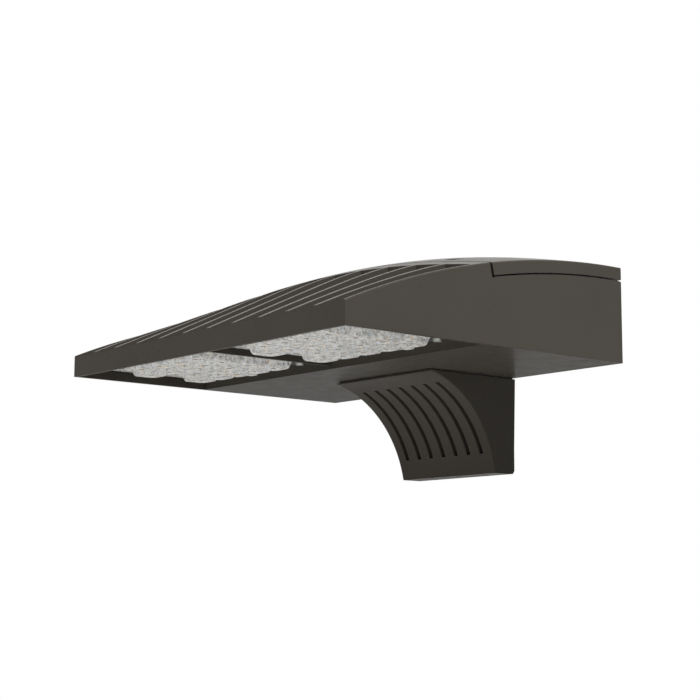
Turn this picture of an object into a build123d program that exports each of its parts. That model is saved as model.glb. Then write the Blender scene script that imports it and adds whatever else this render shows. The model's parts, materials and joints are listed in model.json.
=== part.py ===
import os
from math import asin, atan, cos, degrees, sin, sqrt, tan

from build123d import *

os.makedirs("parts", exist_ok=True)

# Wall-mounted LED luminaire. All sizes are millimetres. The wall is the plane Y = 0, the light looks
# out along -Y, and the origin is the middle of the wall plate. Sketches use the housing's own
# measures: depth behind the front face, and height above the flat underside.

# Where the housing hangs on the wall
underside_height = 40.5  # underside of the housing above the middle of the wall plate
wall_gap = 3.2  # foam gasket between the castings and the wall

# Housing outside
housing_width = 350.0
housing_depth = 280.0
roof_front_height = 17.5  # fin ends at the front face
lip_height = 16.0  # front lip between the fin ends
side_rear_height = 75.3
crown_rear_height = 93.3
crown_knee_depth = 160.6  # where the ramp and the level of the centre line would meet
crown_knee_radius = 348.0
side_edge_radius = 1.2
half_width = housing_width / 2
front_y = -(wall_gap + housing_depth)

# Heat-sink fins
fin_valleys = 11
fin_pitch = housing_width / fin_valleys
fin_thickness = 2.8  # at valley_reference_height, thicker downwards
valley_width = fin_pitch - fin_thickness
valley_reference_height = 110.0
valley_draft = 1.0  # degrees
valley_floor_height = 14.0
valley_root_radius = 4.0  # along both sides of a valley's floor
valley_end_gap = 15.4  # between the valleys' ends and the cover
lip_thickness = 2.6

# Optics recess
recess_depth = 10.0
recess_front = 3.0
recess_back = 130.0
recess_side_wall = 3.0
recess_rib = 2.0
recess_rib_rise = 2.5  # lower edge of the rib above the underside

# Wiring compartment
floor_thickness = 4.0
side_wall = 6.0
rear_wall = 5.0
recess_wall_thickness = 5.0
recess_roof_thickness = 4.0
valley_wall_thickness = 6.0
front_land_width = 11.6
front_land_thickness = 3.5

# Access cover and its seam, struck from the hinge axis
hinge_inset = 5.5  # hinge axis ahead of the rear face
hinge_drop = 6.5  # hinge axis below the top of the crown
cover_swing_radius = 138.1
front_seam_gap = 2.4
side_seam_gap = 1.5
rim_drop = 11.2  # housing rim below the side arc
cover_skin = 2.5
cover_skirt = 4.0
gasket_width = 2.4
gasket_height = 2.1
gasket_groove_depth = 1.5
gasket_fit = 0.1
hinge_depth = housing_depth - hinge_inset
hinge_height = crown_rear_height - hinge_drop
cover_front_depth = hinge_depth - cover_swing_radius
valley_end_depth = cover_front_depth - valley_end_gap
compartment_front = recess_back + recess_wall_thickness  # at the floor
compartment_upper_front = valley_end_depth + valley_wall_thickness  # above the recess
recess_wall_height = recess_depth + recess_roof_thickness
front_land_back = cover_front_depth + front_land_width
hinge_spacing = 48.0
hinge_eye_radius = 2.8
hinge_pin_radius = 1.4
hinge_pin_fit = 0.05
hinge_tab_width = 6.0
hinge_knuckle_width = 11.0
hinge_side_gap = 0.5
hinge_notch_margin = 1.0

# Captive cover screws, tilted to follow the cover's swing
cover_screw_side_inset = 55.0  # inside the housing's side
cover_screw_x = half_width - cover_screw_side_inset
cover_screw_inset = 15.6  # behind the cover's front edge
cover_screw_depth = cover_front_depth + cover_screw_inset
cover_screw_seat = 6.2  # below the roof surface, along the screw
cover_screw_head_radius = 5.0
cover_screw_head_height = 4.5
cover_screw_radius = 2.95
cover_screw_fit = 0.08
cover_screw_engagement = 8.0
screw_swing_room = 0.4
counterbore_radius = 6.2
cover_boss_radius = 8.5
cover_boss_bottom = 17.0  # below the roof surface, along the screw
hex_socket_radius = 2.9
hex_socket_depth = 2.6
clip_outer_radius = 4.8
clip_thickness = 1.0
clip_pocket_radius = 5.4
clip_pocket_depth = 1.4
post_radius = 8.0

# Wall arm
arm_half_top = 58.7
arm_half_bottom = 56.2
arm_length = 94.0
arm_front_depth = housing_depth - arm_length
arm_drop = 79.3
arm_gasket_thickness = 1.0
arm_gasket_inset = 1.5
scoop_radius = 95.5
scoop_inset = 116.2  # centre ahead of the rear face
scoop_depth = housing_depth - scoop_inset
scoop_drop = 95.0
scoop_wall = 11.0
arm_wall = 4.5
arm_top_wall = 4.0
arm_edge_radius = 1.2
arm_foot_radius = 2.5  # along the foot, at the wall
groove_count = 7
groove_pitch = 15.0
groove_width = 4.2
groove_depth = 8.0
groove_start_angle = 24.3
groove_end_angle = 60.2

# Bolts between housing and arm
arm_bolt_x = 37.5
arm_bolt_front_inset = 26.0  # behind the arm's front
arm_bolt_rear_inset = 18.0  # ahead of the rear face
arm_bolt_rear_depth = housing_depth - arm_bolt_rear_inset
arm_bolt_radius = 3.0
arm_bolt_fit = 0.05
arm_bolt_clearance = 0.4
arm_bolt_head_radius = 5.0
arm_bolt_head_height = 5.0
arm_bolt_reach = 9.5  # tip below the underside
washer_radius = 6.5
washer_thickness = 1.2
arm_boss_radius = 6.5
arm_boss_height = 16.0
wire_hole_inset = 27.0
wire_hole_depth = housing_depth - wire_hole_inset
wire_hole_radius = 13.0
grommet_bore_radius = 9.0
grommet_flange_radius = 15.5
grommet_flange_height = 2.0
grommet_fit = 0.05

# Wall plate
plate_width = 98.0
plate_height = 62.0
plate_thickness = 2.5
plate_corner_radius = 5.0
box_screw_spacing = 88.9  # across a 4 inch outlet box
box_screw_radius = 2.6
anchor_spacing_x = 70.0
anchor_spacing_z = 40.0
anchor_radius = 3.2
plate_wire_radius = 11.0
hook_x = 20.0
hook_width = 14.0
hook_reach = 12.7
hook_rise = 3.0
hook_bar_gap = 1.6
hook_bar = 4.0
foot_reach = 11.0
wall_gasket_inset = 5.0
wall_gasket_width = 3.5

# Lock screws through the foot of the arm
lock_screw_x = 30.0
lock_screw_behind_face = 5.2  # ahead of the rear face of the arm
lock_screw_radius = 2.5
lock_screw_length = 12.0
lock_screw_recess = 0.8
lock_screw_fit = 0.05

# LED modules
lens_offset = 3.5  # middle of the lens blocks, from the board's middle towards the rib
module_depth = 63.5
board_rib_gap = 2.0
board_side_gap = 6.0
board_front_gap = 0.5
board_back_gap = 1.4
board_inner_x = recess_rib / 2 + board_rib_gap
board_width = half_width - recess_side_wall - board_side_gap - board_inner_x
board_x = board_inner_x + board_width / 2
module_x = board_x - lens_offset
board_front = recess_front + board_front_gap
board_back = recess_back - board_back_gap
board_thickness = 1.5
pad_thickness = 0.3
pad_margin = 2.0
pad_screw_clearance = 0.5
lens_pitch = 25.0
lens_columns = 5
lens_rows = 4
lens_tile = 24.4
lens_block = 18.0
lens_sheet = 1.5
lens_sheet_margin = 4.0  # sheet inside the sides of the board
lens_sheet_half_length = 57.5
lens_bottom_height = 0.5
lens_flare_height = 4.5
lens_pocket_radius = 4.5
lens_pocket_depth = 3.0
bare_places = ((0, 0), (0, 2))  # column and row counted from the front left
emitter_size = 3.5
emitter_height = 0.8
seal_width = 1.6
seal_fit = 0.2
module_screw_x = 58.7
module_screw_y = 53.5
module_screw_head_radius = 3.6
module_screw_head_height = 2.2
module_screw_radius = 1.95
module_screw_fit = 0.05
module_screw_reach = 2.9
connector_x = 17.0
connector_size = (8.0, 5.0, 3.6)

# Leads between modules and driver
lead_radius = 1.6
lead_seal_radius = 3.5
lead_height = 6.4
lead_rise = 15.0  # run on the floor before the lead rises
lead_driver_height = 22.0
lead_bend_radius = 10.0

# Driver and the rest of the compartment
driver_size = (150.0, 62.0, 37.0)
driver_front_gap = 6.0
driver_washer_gap = 2.5
driver_wall_depth = max(compartment_front, compartment_upper_front)
driver_depth = driver_wall_depth + driver_front_gap + driver_size[1] / 2
driver_back_depth = driver_depth + driver_size[1] / 2
lead_rise_depth = driver_wall_depth + lead_rise
# The front bolts stand behind the driver, and far enough inside the arm
arm_bolt_front_depth = max(
    driver_back_depth + driver_washer_gap + washer_radius, arm_front_depth + arm_bolt_front_inset
)
driver_ear = 8.0
driver_ear_thickness = 3.0
driver_edge_radius = 2.0
small_screw_radius = 1.95
small_screw_head_radius = 3.5
small_screw_head_height = 2.4
small_screw_reach = 3.0
rear_row_gap = 9.0  # between the driver and the surge protector
surge_size = (50.0, 34.0, 25.0)
surge_side_inset = 65.0  # middle, inside the housing's side
surge_place = (surge_side_inset - half_width, driver_back_depth + rear_row_gap + surge_size[1] / 2)
terminal_size = (36.0, 20.0, 16.0)
terminal_side_inset = 72.0
terminal_place = (half_width - terminal_side_inset, surge_place[1])
terminal_ports = 3
terminal_port_pitch = 9.0
terminal_port_radius = 2.6
small_ear = 8.0
small_ear_thickness = 3.0
ground_inset = 25.0
ground_place = (62.0, housing_depth - ground_inset)
ground_boss_radius = 6.0
ground_boss_height = 4.0
ground_screw_radius = 2.5
input_lead_radius = 2.4
input_lead_x = terminal_place[0] - terminal_port_pitch
input_lead_height = floor_thickness + 10.0
input_lead_offset = 14.0  # behind the driver's middle
input_lead_depth = driver_depth + input_lead_offset


def side_plane(x=0.0):
    """Upright plane across the width, with depth and height as its two measures."""
    return Plane(origin=(x, front_y, underside_height), x_dir=(0, 1, 0), z_dir=(1, 0, 0))


def plan_plane(height=0.0):
    """Level plane at a height above the underside, with width and depth as its two measures."""
    return Plane(origin=(0, front_y, underside_height + height), x_dir=(1, 0, 0), z_dir=(0, 0, 1))


def wall_plane(y=0.0):
    """Upright plane facing the room, with width and height as its measures."""
    return Plane(origin=(0, y, 0), x_dir=(1, 0, 0), z_dir=(0, -1, 0))


# Long arc of the side panels, level at the wall
side_rise = side_rear_height - roof_front_height
side_arc_radius = (housing_depth**2 + side_rise**2) / (2 * side_rise)
side_arc_centre = (housing_depth, side_rear_height - side_arc_radius)


def side_height(depth):
    """Height of the side panel's top edge."""
    back = housing_depth - depth
    return side_arc_centre[1] + sqrt(side_arc_radius**2 - back**2)


def crown_height(depth):
    """Height of the roof's centre line: a straight ramp, an arc and a level."""
    slope = (crown_rear_height - roof_front_height) / crown_knee_depth
    angle = atan(slope)
    tangent = crown_knee_radius * tan(angle / 2)
    level_start = crown_knee_depth + tangent
    if depth < crown_knee_depth - tangent * cos(angle):
        return roof_front_height + slope * depth
    if depth > level_start:
        return crown_rear_height
    drop = crown_knee_radius - sqrt(crown_knee_radius**2 - (level_start - depth) ** 2)
    return crown_rear_height - drop


def roof_height(x, depth):
    """Height of the crowned roof anywhere on the housing."""
    edge = side_height(depth)
    return edge + (crown_height(depth) - edge) * (1 - (x / half_width) ** 2)


def roof_block(drop):
    """Everything below the roof surface lowered by a drop, larger than the housing all round."""
    margin = 6.0
    stations = 9
    step = (housing_depth + 2 * margin) / (stations - 1)
    depths = [-margin + index * step for index in range(stations)]
    with BuildPart() as block:
        for x in (-half_width - margin, 0, half_width + margin):
            with BuildSketch(side_plane(x)):
                with BuildLine():
                    roof = Spline(*[(depth, roof_height(x, depth) - drop) for depth in depths])
                    Polyline(roof @ 1, (depths[-1], -margin), (depths[0], -margin), roof @ 0)
                make_face()
        loft()
    return block.part


def outer_block():
    """The closed outer form that the housing and its cover are cut from."""
    with BuildPart() as block:
        add(roof_block(0))
        with BuildSketch(plan_plane()):
            Rectangle(housing_width, housing_depth, align=(Align.CENTER, Align.MIN))
        extrude(amount=2 * crown_rear_height, mode=Mode.INTERSECT)
        top_edges = block.edges().filter_by(
            lambda edge: abs(abs(edge.center().X) - half_width) < 0.01 and edge.geom_type != GeomType.LINE
        )
        fillet(top_edges, side_edge_radius)
    return block.part


def above_seam(swing_radius, drop):
    """Sketch of the cover's zone: inside a swing about the hinge, above an arc below the side arc."""
    with BuildSketch(side_plane()) as zone:
        with Locations((hinge_depth, hinge_height)):
            Circle(swing_radius)
        with Locations(side_arc_centre):
            Circle(side_arc_radius - drop, mode=Mode.SUBTRACT)
    return zone.sketch


def rim_ring(width):
    """Plan ring that runs round the middle of the cover's skirt."""
    middle = cover_skirt / 2
    front_height = side_height(front_land_back) - rim_drop
    reach = sqrt(cover_swing_radius**2 - (hinge_height - front_height) ** 2)
    front = hinge_depth - reach + middle
    back = housing_depth - middle
    with BuildSketch(plan_plane()) as ring:
        with Locations((0, (front + back) / 2)):
            Rectangle(housing_width - 2 * middle + width, back - front + width)
            Rectangle(housing_width - 2 * middle - width, back - front - width, mode=Mode.SUBTRACT)
    return ring.sketch


def rim_band(bottom_drop, top_drop):
    """Curved band between two arcs below the side arc."""
    with BuildSketch(side_plane()) as band:
        with Locations(side_arc_centre):
            Circle(side_arc_radius - top_drop)
            Circle(side_arc_radius - bottom_drop, mode=Mode.SUBTRACT)
    return band.sketch


# Tilt of the cover screws: square to the line from the hinge at the middle of their grip
screw_surface = roof_height(cover_screw_x, cover_screw_depth)
screw_back = hinge_depth - cover_screw_depth
screw_below = hinge_height - screw_surface
screw_grip_middle = cover_boss_bottom + cover_screw_engagement / 2
screw_line = sqrt(screw_back**2 + screw_below**2)
screw_tilt = asin(screw_grip_middle / screw_line) + atan(screw_below / screw_back)


def screw_plane(side, below=0.0):
    """Plane square to a cover screw, at a distance below the roof surface along the screw."""
    base = Plane(
        origin=(side * cover_screw_x, front_y + cover_screw_depth, underside_height + screw_surface),
        x_dir=(1, 0, 0),
        z_dir=(0, -sin(screw_tilt), cos(screw_tilt)),
    )
    return base.offset(-below)


arm_bolt_places = [
    (side * arm_bolt_x, depth) for side in (-1, 1) for depth in (arm_bolt_front_depth, arm_bolt_rear_depth)
]
driver_screw_places = [(side * (driver_size[0] + driver_ear) / 2, driver_depth) for side in (-1, 1)]
surge_screw_places = [
    (surge_place[0] + side * (surge_size[0] + small_ear) / 2, surge_place[1]) for side in (-1, 1)
]
terminal_screw_places = [
    (terminal_place[0] + side * (terminal_size[0] + small_ear) / 2, terminal_place[1]) for side in (-1, 1)
]
small_screw_places = driver_screw_places + surge_screw_places + terminal_screw_places


def module_places(side):
    """Places of one module's four screws."""
    return [
        (side * module_x + x * module_screw_x, module_depth + y * module_screw_y)
        for x in (-1, 1)
        for y in (-1, 1)
    ]


def lead_x(side):
    """Width of the lead's passage on one side."""
    return side * (module_x + connector_x)


# One valley between two fins, with the notch that leaves the fin ends standing above the lip
with BuildPart() as fin_valley:
    with BuildSketch(plan_plane(valley_reference_height)):
        with Locations((0, (lip_thickness + valley_end_depth) / 2)):
            Rectangle(valley_width, valley_end_depth - lip_thickness)
    extrude(amount=-(valley_reference_height - valley_floor_height), taper=valley_draft)
    fillet(fin_valley.faces().sort_by(Axis.Z)[0].edges().filter_by(Axis.Y), valley_root_radius)
    with BuildSketch(plan_plane(lip_height)):
        with Locations((0, lip_thickness / 2)):
            Rectangle(valley_width - 2.5, lip_thickness + 6)
    extrude(amount=10)

# Groove round the rim for the cover gasket
with BuildPart() as gasket_groove:
    extrude(rim_ring(gasket_width + 2 * gasket_fit), amount=2 * crown_rear_height)
    groove_band = rim_band(rim_drop + gasket_groove_depth, rim_drop - gasket_height)
    extrude(groove_band, amount=half_width, both=True, mode=Mode.INTERSECT)

# Housing: the outer form with fins, recess and compartment cut into it
with BuildPart() as housing:
    add(outer_block())
    cover_zone = above_seam(cover_swing_radius + front_seam_gap, rim_drop)
    extrude(cover_zone, amount=half_width + 1, both=True, mode=Mode.SUBTRACT)
    with GridLocations(fin_pitch, 1, fin_valleys, 1):
        add(fin_valley.part, mode=Mode.SUBTRACT)
    # Compartment in three steps, so that its front wall clears the recess and carries the front land
    land_bottom = side_height(cover_screw_depth) - rim_drop - front_land_thickness
    inner_width = housing_width - 2 * side_wall
    for bottom, top, front in (
        (floor_thickness, recess_wall_height, compartment_front),
        (recess_wall_height, land_bottom, compartment_upper_front),
        (land_bottom, crown_rear_height, front_land_back),
    ):
        with BuildSketch(plan_plane(bottom)):
            with Locations((0, (front + housing_depth - rear_wall) / 2)):
                Rectangle(inner_width, housing_depth - rear_wall - front)
        extrude(amount=top - bottom, mode=Mode.SUBTRACT)
    add(gasket_groove.part, mode=Mode.SUBTRACT)
    # Posts for the cover screws, faced square to the screws
    for side in (-1, 1):
        post_depth = cover_screw_depth + (cover_boss_bottom + cover_screw_engagement) * sin(screw_tilt)
        with BuildSketch(plan_plane(floor_thickness)):
            with Locations((side * cover_screw_x, post_depth)):
                Circle(post_radius)
        extrude(amount=screw_surface - floor_thickness)
        with BuildSketch(screw_plane(side, cover_boss_bottom)):
            Circle(2 * post_radius)
        extrude(amount=2 * cover_boss_bottom, mode=Mode.SUBTRACT)
        with BuildSketch(screw_plane(side, cover_boss_bottom)):
            Circle(cover_screw_radius + screw_swing_room)
        extrude(amount=-(cover_screw_engagement + 2), mode=Mode.SUBTRACT)
    # Hinge tabs rising from the rear wall
    for side in (-1, 1):
        for place in (-1, 1):
            tab_x = side * hinge_spacing / 2 + place * (
                hinge_knuckle_width / 2 + hinge_side_gap + hinge_tab_width / 2
            )
            with BuildSketch(side_plane(tab_x)):
                with BuildLine():
                    Polyline(
                        (housing_depth - rear_wall + 0.2, land_bottom - 4),
                        (housing_depth - cover_skirt - 0.4, land_bottom + 14),
                        (hinge_depth + hinge_eye_radius, hinge_height),
                        (hinge_depth - hinge_eye_radius, hinge_height),
                        (housing_depth - rear_wall - 6, land_bottom + 6),
                        (housing_depth - rear_wall + 0.2, land_bottom - 4),
                    )
                make_face()
                with Locations((hinge_depth, hinge_height)):
                    Circle(hinge_eye_radius)
                    Circle(hinge_pin_radius + hinge_pin_fit, mode=Mode.SUBTRACT)
            extrude(amount=hinge_tab_width / 2, both=True)
    # Recess for the light engine, one half each side of the rib, which stands back from the underside
    with BuildSketch(plan_plane()):
        with Locations((0, (recess_front + recess_back) / 2)):
            Rectangle(housing_width - 2 * recess_side_wall, recess_back - recess_front)
    extrude(amount=recess_rib_rise, mode=Mode.SUBTRACT)
    with BuildSketch(plan_plane()):
        recess_half = half_width - recess_side_wall - recess_rib / 2
        for side in (-1, 1):
            with Locations((side * (recess_rib + recess_half) / 2, (recess_front + recess_back) / 2)):
                Rectangle(recess_half, recess_back - recess_front)
    extrude(amount=recess_depth, mode=Mode.SUBTRACT)
    # Boss for the ground screw
    with BuildSketch(plan_plane(floor_thickness)):
        with Locations(ground_place):
            Circle(ground_boss_radius)
    extrude(amount=ground_boss_height)
    # Holes in the floor: arm bolts, supply wires, small screws and the ground screw
    with BuildSketch(plan_plane()):
        with Locations(*arm_bolt_places):
            Circle(arm_bolt_radius + arm_bolt_clearance)
        with Locations((0, wire_hole_depth)):
            Circle(wire_hole_radius)
    extrude(amount=floor_thickness, mode=Mode.SUBTRACT)
    with BuildSketch(plan_plane(floor_thickness)):
        with Locations(*small_screw_places):
            Circle(small_screw_radius + module_screw_fit)
    extrude(amount=-small_screw_reach, mode=Mode.SUBTRACT)
    with BuildSketch(plan_plane(floor_thickness + ground_boss_height)):
        with Locations(ground_place):
            Circle(ground_screw_radius + module_screw_fit)
    extrude(amount=-(ground_boss_height + small_screw_reach - 1), mode=Mode.SUBTRACT)
    # Screw holes in the recess ceiling
    with BuildSketch(plan_plane(recess_depth)):
        with Locations(*module_places(-1), *module_places(1)):
            Circle(module_screw_radius + module_screw_fit)
    extrude(amount=module_screw_reach + 0.3, mode=Mode.SUBTRACT)
    # Passages for the module leads through the recess wall
    for side in (-1, 1):
        lead_plane = Plane(
            origin=(lead_x(side), front_y + recess_back, underside_height + lead_height), z_dir=(0, 1, 0)
        )
        with BuildSketch(lead_plane):
            Circle(lead_seal_radius)
        extrude(amount=compartment_front - recess_back, mode=Mode.SUBTRACT)
housing.part.label = "housing"
export_step(housing.part, "parts/housing.step")

# Access cover: a crowned shell with skirts, cut from the same outer form
with BuildPart() as cover_hollow:
    add(roof_block(cover_skin))
    with BuildSketch(side_plane()):
        with Locations((hinge_depth, hinge_height)):
            Circle(cover_swing_radius - cover_skirt)
        with Locations(((housing_depth - cover_skirt) / 2, crown_rear_height / 2)):
            Rectangle(housing_depth - cover_skirt, 2 * crown_rear_height, mode=Mode.INTERSECT)
    extrude(amount=half_width - cover_skirt, both=True, mode=Mode.INTERSECT)
with BuildPart() as hinge_notches:
    add(roof_block(cover_skin))
    with BuildSketch(plan_plane(land_bottom)):
        for side in (-1, 1):
            with Locations((side * hinge_spacing / 2, housing_depth)):
                notch_half = hinge_knuckle_width / 2 + hinge_side_gap + hinge_tab_width + hinge_notch_margin
                Rectangle(2 * notch_half, 2 * (cover_skirt + 1))
    extrude(amount=crown_rear_height, mode=Mode.INTERSECT)
with BuildPart() as access_cover:
    add(outer_block())
    extrude(
        above_seam(cover_swing_radius, rim_drop - side_seam_gap),
        amount=half_width + 1,
        both=True,
        mode=Mode.INTERSECT,
    )
    add(cover_hollow.part, mode=Mode.SUBTRACT)
    add(hinge_notches.part, mode=Mode.SUBTRACT)
    # Bosses for the captive screws, with a counterbore above and a clip pocket below
    for side in (-1, 1):
        with BuildSketch(screw_plane(side, cover_skin / 2)):
            Circle(cover_boss_radius)
        extrude(amount=-(cover_boss_bottom - cover_skin / 2))
        with BuildSketch(screw_plane(side, cover_screw_seat)):
            Circle(counterbore_radius)
        extrude(amount=2 * cover_screw_seat, mode=Mode.SUBTRACT)
        with BuildSketch(screw_plane(side)):
            Circle(cover_screw_radius + cover_screw_fit)
        extrude(amount=-cover_boss_bottom, mode=Mode.SUBTRACT)
        with BuildSketch(screw_plane(side, cover_boss_bottom)):
            Circle(clip_pocket_radius)
        extrude(amount=clip_pocket_depth, mode=Mode.SUBTRACT)
    # Hinge knuckles under the skin
    for side in (-1, 1):
        with BuildSketch(side_plane(side * hinge_spacing / 2)):
            with Locations((hinge_depth, hinge_height)):
                Circle(hinge_eye_radius)
            with Locations((hinge_depth, hinge_height + (hinge_drop - cover_skin / 2) / 2)):
                Rectangle(2 * hinge_eye_radius, hinge_drop - cover_skin / 2)
            with Locations((hinge_depth, hinge_height)):
                Circle(hinge_pin_radius + hinge_pin_fit, mode=Mode.SUBTRACT)
        extrude(amount=hinge_knuckle_width / 2, both=True)
access_cover.part.label = "access_cover"
export_step(access_cover.part, "parts/access_cover.step")

with BuildPart() as cover_gasket:
    extrude(rim_ring(gasket_width), amount=2 * crown_rear_height)
    extrude(
        rim_band(rim_drop + gasket_groove_depth, rim_drop + gasket_groove_depth - gasket_height),
        amount=half_width,
        both=True,
        mode=Mode.INTERSECT,
    )
cover_gasket.part.label = "cover_gasket"
export_step(cover_gasket.part, "parts/cover_gasket.step")

with BuildPart() as hinge_pins:
    for side in (-1, 1):
        with BuildSketch(side_plane(side * hinge_spacing / 2)):
            with Locations((hinge_depth, hinge_height)):
                Circle(hinge_pin_radius)
        extrude(amount=hinge_knuckle_width / 2 + hinge_side_gap + hinge_tab_width, both=True)
hinge_pins.part.label = "hinge_pins"
export_step(hinge_pins.part, "parts/hinge_pins.step")

# Captive cover screws and the clips that hold them in the cover
for side, name in ((-1, "left"), (1, "right")):
    with BuildPart() as cover_screw:
        with BuildSketch(screw_plane(side, cover_screw_seat)):
            Circle(cover_screw_head_radius)
        extrude(amount=cover_screw_head_height)
        chamfer(cover_screw.edges().filter_by(GeomType.CIRCLE).sort_by(Axis.Z)[-1], 0.5)
        with BuildSketch(screw_plane(side, cover_screw_seat)):
            Circle(cover_screw_radius)
        extrude(amount=-(cover_boss_bottom + cover_screw_engagement - cover_screw_seat))
        with BuildSketch(screw_plane(side, cover_screw_seat - cover_screw_head_height)):
            RegularPolygon(hex_socket_radius, 6)
        extrude(amount=-hex_socket_depth, mode=Mode.SUBTRACT)
    cover_screw.part.label = f"cover_screw_{name}"
    export_step(cover_screw.part, f"parts/cover_screw_{name}.step")

    with BuildPart() as screw_clip:
        with BuildSketch(screw_plane(side, cover_boss_bottom - 0.2)):
            Circle(clip_outer_radius)
            Circle(cover_screw_radius, mode=Mode.SUBTRACT)
            with Locations((0, clip_outer_radius)):
                Rectangle(1.4 * cover_screw_radius, 2 * clip_outer_radius, mode=Mode.SUBTRACT)
        extrude(amount=clip_thickness)
    screw_clip.part.label = f"screw_clip_{name}"
    export_step(screw_clip.part, f"parts/screw_clip_{name}.step")

# Wall arm: a drafted block scooped by a cylinder, hollow at the wall side, with grooves in the scoop
arm_top_height = -arm_gasket_thickness
with BuildPart() as wall_arm:
    with BuildSketch(side_plane()) as arm_outline:
        with Locations(((arm_front_depth + housing_depth) / 2, (arm_top_height - arm_drop) / 2)):
            Rectangle(housing_depth - arm_front_depth, arm_drop + arm_top_height)
        with Locations((scoop_depth, -scoop_drop)):
            Circle(scoop_radius, mode=Mode.SUBTRACT)
    extrude(amount=arm_half_top + 1, both=True)
    with BuildSketch(wall_plane(front_y)):
        with BuildLine():
            Polyline(
                (arm_half_top, underside_height),
                (arm_half_bottom, underside_height - arm_drop),
                (-arm_half_bottom, underside_height - arm_drop),
                (-arm_half_top, underside_height),
                (arm_half_top, underside_height),
            )
        make_face()
    extrude(amount=-housing_depth, mode=Mode.INTERSECT)
    scoop_edges = wall_arm.faces().filter_by(GeomType.CYLINDER)[0].edges()
    fillet(scoop_edges.filter_by(lambda edge: edge.geom_type != GeomType.LINE), arm_edge_radius)
    fillet(wall_arm.edges().filter_by(Axis.X).group_by(Axis.Z)[0].sort_by(Axis.Y)[-1], arm_foot_radius)
    # Cavity behind the scoop
    with BuildSketch(side_plane()):
        hollow_top = arm_top_height - arm_top_wall
        hollow_bottom = -arm_drop + arm_wall
        with Locations(((arm_front_depth + housing_depth) / 2, (hollow_top + hollow_bottom) / 2)):
            Rectangle(housing_depth - arm_front_depth, hollow_top - hollow_bottom)
        with Locations((scoop_depth, -scoop_drop)):
            Circle(scoop_radius + scoop_wall, mode=Mode.SUBTRACT)
    extrude(amount=arm_half_bottom - arm_wall, both=True, mode=Mode.SUBTRACT)
    # Bosses for the rear bolts and the bar that the wall plate's hooks carry
    with BuildSketch(plan_plane(arm_top_height)):
        for side in (-1, 1):
            with Locations((side * arm_bolt_x, arm_bolt_rear_depth)):
                Circle(arm_boss_radius)
    extrude(amount=-arm_boss_height)
    hook_top = plate_height / 2 - underside_height
    bar_front = housing_depth + wall_gap - hook_reach + plate_thickness + hook_bar_gap
    with BuildSketch(side_plane()):
        with Locations((bar_front + hook_bar / 2, (hollow_top + hook_top) / 2)):
            Rectangle(hook_bar, hollow_top - hook_top)
    extrude(amount=hook_x + hook_width, both=True)
    # Grooves, run out round at both ends
    for index in range(groove_count):
        groove_x = (index - (groove_count - 1) / 2) * groove_pitch
        with BuildSketch(side_plane(groove_x)):
            with BuildLine(mode=Mode.PRIVATE) as groove_line:
                CenterArc(
                    (scoop_depth, -scoop_drop),
                    scoop_radius,
                    groove_start_angle,
                    groove_end_angle - groove_start_angle,
                )
            SlotArc(groove_line.line.edges()[0], 2 * groove_depth)
        extrude(amount=groove_width / 2, both=True, mode=Mode.SUBTRACT)
    # Bolt holes, the supply wires' hole and the lock screws' holes
    with BuildSketch(plan_plane(arm_top_height)):
        with Locations(*arm_bolt_places):
            Circle(arm_bolt_radius + arm_bolt_fit)
    extrude(amount=-(arm_bolt_reach + arm_top_height), mode=Mode.SUBTRACT)
    with BuildSketch(plan_plane(arm_top_height)):
        with Locations((0, wire_hole_depth)):
            Circle(wire_hole_radius)
    extrude(amount=-arm_top_wall, mode=Mode.SUBTRACT)
    lock_depth = housing_depth - lock_screw_behind_face
    with BuildSketch(plan_plane(-arm_drop)):
        for side in (-1, 1):
            with Locations((side * lock_screw_x, lock_depth)):
                Circle(lock_screw_radius + lock_screw_fit)
    extrude(amount=arm_wall, mode=Mode.SUBTRACT)
wall_arm.part.label = "wall_arm"
export_step(wall_arm.part, "parts/wall_arm.step")

with BuildPart() as arm_gasket:
    with BuildSketch(plan_plane(arm_top_height)):
        gasket_front = arm_front_depth + arm_gasket_inset
        gasket_back = housing_depth - arm_gasket_inset
        with Locations((0, (gasket_front + gasket_back) / 2)):
            Rectangle(2 * (arm_half_top - arm_gasket_inset), gasket_back - gasket_front)
        with Locations(*arm_bolt_places):
            Circle(arm_bolt_radius + arm_bolt_clearance, mode=Mode.SUBTRACT)
        with Locations((0, wire_hole_depth)):
            Circle(wire_hole_radius, mode=Mode.SUBTRACT)
    extrude(amount=arm_gasket_thickness)
arm_gasket.part.label = "arm_gasket"
export_step(arm_gasket.part, "parts/arm_gasket.step")

with BuildPart() as arm_bolts:
    with BuildSketch(plan_plane(floor_thickness + washer_thickness)):
        with Locations(*arm_bolt_places):
            RegularPolygon(arm_bolt_head_radius, 6, major_radius=False)
    extrude(amount=arm_bolt_head_height)
    with BuildSketch(plan_plane(floor_thickness + washer_thickness)):
        with Locations(*arm_bolt_places):
            Circle(arm_bolt_radius)
    extrude(amount=-(floor_thickness + washer_thickness + arm_bolt_reach - 0.5))
arm_bolts.part.label = "arm_bolts"
export_step(arm_bolts.part, "parts/arm_bolts.step")

with BuildPart() as arm_washers:
    with BuildSketch(plan_plane(floor_thickness)):
        with Locations(*arm_bolt_places):
            Circle(washer_radius)
            Circle(arm_bolt_radius + arm_bolt_fit, mode=Mode.SUBTRACT)
    extrude(amount=washer_thickness)
arm_washers.part.label = "arm_washers"
export_step(arm_washers.part, "parts/arm_washers.step")

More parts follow.
